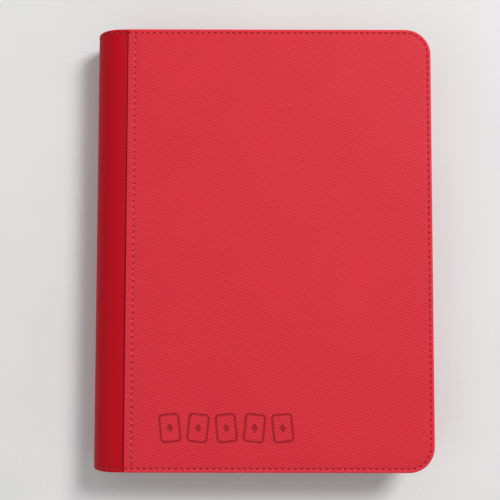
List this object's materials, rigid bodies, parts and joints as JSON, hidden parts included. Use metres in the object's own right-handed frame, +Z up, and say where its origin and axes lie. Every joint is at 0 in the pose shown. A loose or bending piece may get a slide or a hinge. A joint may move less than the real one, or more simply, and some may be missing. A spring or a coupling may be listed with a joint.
{
  "type": "trading card binder",
  "caption": "Padded zip-around album with a rounded spine and sewn-seam covers that opens flat on bound pages of card pockets.",
  "frame": {"origin": "middle of the closed binder's footprint, on the surface it lies on", "axes": "+X from the spine to the fore edge, +Y from the foot of the pages to the head, +Z up through the covers"},
  "size_m": [0.264, 0.345, 0.044],
  "materials": {
    "cover_leather": "semi-matt red leatherette with a fine diagonal grain",
    "spine_leather": "semi-matt smooth red leatherette",
    "foam": "soft closed-cell padding, dark grey",
    "board": "grey board",
    "lining": "black fine-ribbed fabric",
    "thread": "red polyester thread",
    "zip_tape": "red woven herringbone tape",
    "zip_teeth": "red moulded plastic",
    "zip_metal": "gunmetal plating, satin",
    "pull_leather": "semi-matt red leatherette",
    "clamp": "black, fine matt",
    "post_metal": "nickel-plated",
    "page": "clear film welded over a black middle sheet"
  },
  "bodies": {
    "back_cover": {"back_cover_leather": "cover_leather", "back_cover_foam": "foam", "back_cover_board": "board", "back_inner_card": "board", "back_lining": "lining", "back_hinge_leather": "spine_leather", "back_stitching": "thread", "back_zip_tape": "zip_tape", "back_zip_teeth": "zip_teeth", "zip_tail_tapes": "zip_tape", "zip_tail_teeth": "zip_teeth", "zip_end_stops": "zip_teeth"},
    "spine_lower": {"spine_leather_lower": "spine_leather", "spine_padding_lower": "foam", "spine_lining_lower": "lining"},
    "spine_middle": {"spine_leather_middle": "spine_leather", "spine_padding_middle": "foam", "spine_lining_middle": "lining", "binding_strip": "lining", "binding_clamp_upper": "clamp", "binding_clamp_lower": "clamp", "binding_post_barrels": "post_metal", "binding_post_screws": "post_metal", "page_margins": "page"},
    "spine_upper": {"spine_leather_upper": "spine_leather", "spine_padding_upper": "foam", "spine_lining_upper": "lining"},
    "front_cover": {"front_cover_leather": "cover_leather", "front_cover_foam": "foam", "front_cover_board": "board", "front_inner_card": "board", "front_lining": "lining", "front_hinge_leather": "spine_leather", "front_stitching": "thread", "front_zip_tape": "zip_tape", "front_zip_teeth": "zip_teeth"},
    "slider": {"zip_slider": "zip_metal"},
    "pull": {"pull_tab": "zip_metal", "pull_strap": "pull_leather", "pull_rivet": "zip_metal"},
    "page_01": {"page_01": "page"},
    "page_02": {"page_02": "page"},
    "page_03": {"page_03": "page"},
    "page_04": {"page_04": "page"},
    "page_05": {"page_05": "page"},
    "page_06": {"page_06": "page"},
    "page_07": {"page_07": "page"},
    "page_08": {"page_08": "page"},
    "page_09": {"page_09": "page"},
    "page_10": {"page_10": "page"},
    "page_11": {"page_11": "page"},
    "page_12": {"page_12": "page"},
    "page_13": {"page_13": "page"},
    "page_14": {"page_14": "page"},
    "page_15": {"page_15": "page"},
    "page_16": {"page_16": "page"},
    "page_17": {"page_17": "page"},
    "page_18": {"page_18": "page"},
    "page_19": {"page_19": "page"},
    "page_20": {"page_20": "page"}
  },
  "joints": [
    {"name": "back_fold", "type": "hinge", "parent": "back_cover", "child": "spine_lower", "pos_m": [-0.11897, 0, 0.00251], "axis": [0, -1, 0], "range_deg": [0, 45]},
    {"name": "lower_fold", "type": "hinge", "parent": "spine_lower", "child": "spine_middle", "pos_m": [-0.13039, 0, 0.01393], "axis": [0, -1, 0], "range_deg": [0, 45]},
    {"name": "upper_fold", "type": "hinge", "parent": "spine_middle", "child": "spine_upper", "pos_m": [-0.13039, 0, 0.03007], "axis": [0, -1, 0], "range_deg": [0, 45]},
    {"name": "front_fold", "type": "hinge", "parent": "spine_upper", "child": "front_cover", "pos_m": [-0.11897, 0, 0.04149], "axis": [0, -1, 0], "range_deg": [0, 45]},
    {"name": "page_01_turn", "type": "hinge", "parent": "spine_middle", "child": "page_01", "pos_m": [-0.11782, 0, 0.0163], "axis": [0, -1, 0], "range_deg": [-89.9, 0]},
    {"name": "page_02_turn", "type": "hinge", "parent": "spine_middle", "child": "page_02", "pos_m": [-0.11692, 0, 0.0169], "axis": [0, -1, 0], "range_deg": [-90.2, 0]},
    {"name": "page_03_turn", "type": "hinge", "parent": "spine_middle", "child": "page_03", "pos_m": [-0.11602, 0, 0.0175], "axis": [0, -1, 0], "range_deg": [-90.4, 0]},
    {"name": "page_04_turn", "type": "hinge", "parent": "spine_middle", "child": "page_04", "pos_m": [-0.11512, 0, 0.0181], "axis": [0, -1, 0], "range_deg": [-90.7, 0]},
    {"name": "page_05_turn", "type": "hinge", "parent": "spine_middle", "child": "page_05", "pos_m": [-0.11422, 0, 0.0187], "axis": [0, -1, 0], "range_deg": [-91, 0]},
    {"name": "page_06_turn", "type": "hinge", "parent": "spine_middle", "child": "page_06", "pos_m": [-0.11332, 0, 0.0193], "axis": [0, -1, 0], "range_deg": [-91.3, 0]},
    {"name": "page_07_turn", "type": "hinge", "parent": "spine_middle", "child": "page_07", "pos_m": [-0.11242, 0, 0.0199], "axis": [0, -1, 0], "range_deg": [-91.6, 0]},
    {"name": "page_08_turn", "type": "hinge", "parent": "spine_middle", "child": "page_08", "pos_m": [-0.11152, 0, 0.0205], "axis": [0, -1, 0], "range_deg": [-91.9, 0]},
    {"name": "page_09_turn", "type": "hinge", "parent": "spine_middle", "child": "page_09", "pos_m": [-0.11062, 0, 0.0211], "axis": [0, -1, 0], "range_deg": [-92.2, 0]},
    {"name": "page_10_turn", "type": "hinge", "parent": "spine_middle", "child": "page_10", "pos_m": [-0.10972, 0, 0.0217], "axis": [0, -1, 0], "range_deg": [-92.5, 0]},
    {"name": "page_11_turn", "type": "hinge", "parent": "spine_middle", "child": "page_11", "pos_m": [-0.10972, 0, 0.0223], "axis": [0, -1, 0], "range_deg": [0, 92.5]},
    {"name": "page_12_turn", "type": "hinge", "parent": "spine_middle", "child": "page_12", "pos_m": [-0.11062, 0, 0.0229], "axis": [0, -1, 0], "range_deg": [0, 92.2]},
    {"name": "page_13_turn", "type": "hinge", "parent": "spine_middle", "child": "page_13", "pos_m": [-0.11152, 0, 0.0235], "axis": [0, -1, 0], "range_deg": [0, 91.9]},
    {"name": "page_14_turn", "type": "hinge", "parent": "spine_middle", "child": "page_14", "pos_m": [-0.11242, 0, 0.0241], "axis": [0, -1, 0], "range_deg": [0, 91.6]},
    {"name": "page_15_turn", "type": "hinge", "parent": "spine_middle", "child": "page_15", "pos_m": [-0.11332, 0, 0.0247], "axis": [0, -1, 0], "range_deg": [0, 91.3]},
    {"name": "page_16_turn", "type": "hinge", "parent": "spine_middle", "child": "page_16", "pos_m": [-0.11422, 0, 0.0253], "axis": [0, -1, 0], "range_deg": [0, 91]},
    {"name": "page_17_turn", "type": "hinge", "parent": "spine_middle", "child": "page_17", "pos_m": [-0.11512, 0, 0.0259], "axis": [0, -1, 0], "range_deg": [0, 90.7]},
    {"name": "page_18_turn", "type": "hinge", "parent": "spine_middle", "child": "page_18", "pos_m": [-0.11602, 0, 0.0265], "axis": [0, -1, 0], "range_deg": [0, 90.4]},
    {"name": "page_19_turn", "type": "hinge", "parent": "spine_middle", "child": "page_19", "pos_m": [-0.11692, 0, 0.0271], "axis": [0, -1, 0], "range_deg": [0, 90.2]},
    {"name": "page_20_turn", "type": "hinge", "parent": "spine_middle", "child": "page_20", "pos_m": [-0.11782, 0, 0.0277], "axis": [0, -1, 0], "range_deg": [0, 89.9]},
    {"name": "zip_slide", "type": "slide", "parent": "back_cover", "child": "slider", "axis": [1, 0, 0], "range_m": [0, 0.21], "deforming": ["front_zip_teeth", "back_zip_teeth"]},
    {"name": "pull_swing", "type": "hinge", "parent": "slider", "child": "pull", "pos_m": [-0.1075, -0.17045, 0.022], "axis": [0, 0, -1], "range_deg": [0, 160]}
  ],
  "couplings": [
    {"joint": "lower_fold", "follows": "back_fold", "ratio": 1},
    {"joint": "upper_fold", "follows": "back_fold", "ratio": 1},
    {"joint": "front_fold", "follows": "back_fold", "ratio": 1},
    {"joint": "page_01_turn", "follows": "back_fold", "ratio": -1.9935},
    {"joint": "page_02_turn", "follows": "back_fold", "ratio": -2},
    {"joint": "page_03_turn", "follows": "back_fold", "ratio": -2.0066},
    {"joint": "page_04_turn", "follows": "back_fold", "ratio": -2.0132},
    {"joint": "page_05_turn", "follows": "back_fold", "ratio": -2.0198},
    {"joint": "page_06_turn", "follows": "back_fold", "ratio": -2.0264},
    {"joint": "page_07_turn", "follows": "back_fold", "ratio": -2.033},
    {"joint": "page_08_turn", "follows": "back_fold", "ratio": -2.0396},
    {"joint": "page_09_turn", "follows": "back_fold", "ratio": -2.0463},
    {"joint": "page_10_turn", "follows": "back_fold", "ratio": -2.0529},
    {"joint": "page_11_turn", "follows": "back_fold", "ratio": 2.0529},
    {"joint": "page_12_turn", "follows": "back_fold", "ratio": 2.0463},
    {"joint": "page_13_turn", "follows": "back_fold", "ratio": 2.0396},
    {"joint": "page_14_turn", "follows": "back_fold", "ratio": 2.033},
    {"joint": "page_15_turn", "follows": "back_fold", "ratio": 2.0264},
    {"joint": "page_16_turn", "follows": "back_fold", "ratio": 2.0198},
    {"joint": "page_17_turn", "follows": "back_fold", "ratio": 2.0132},
    {"joint": "page_18_turn", "follows": "back_fold", "ratio": 2.0066},
    {"joint": "page_19_turn", "follows": "back_fold", "ratio": 2},
    {"joint": "page_20_turn", "follows": "back_fold", "ratio": 1.9935}
  ]
}
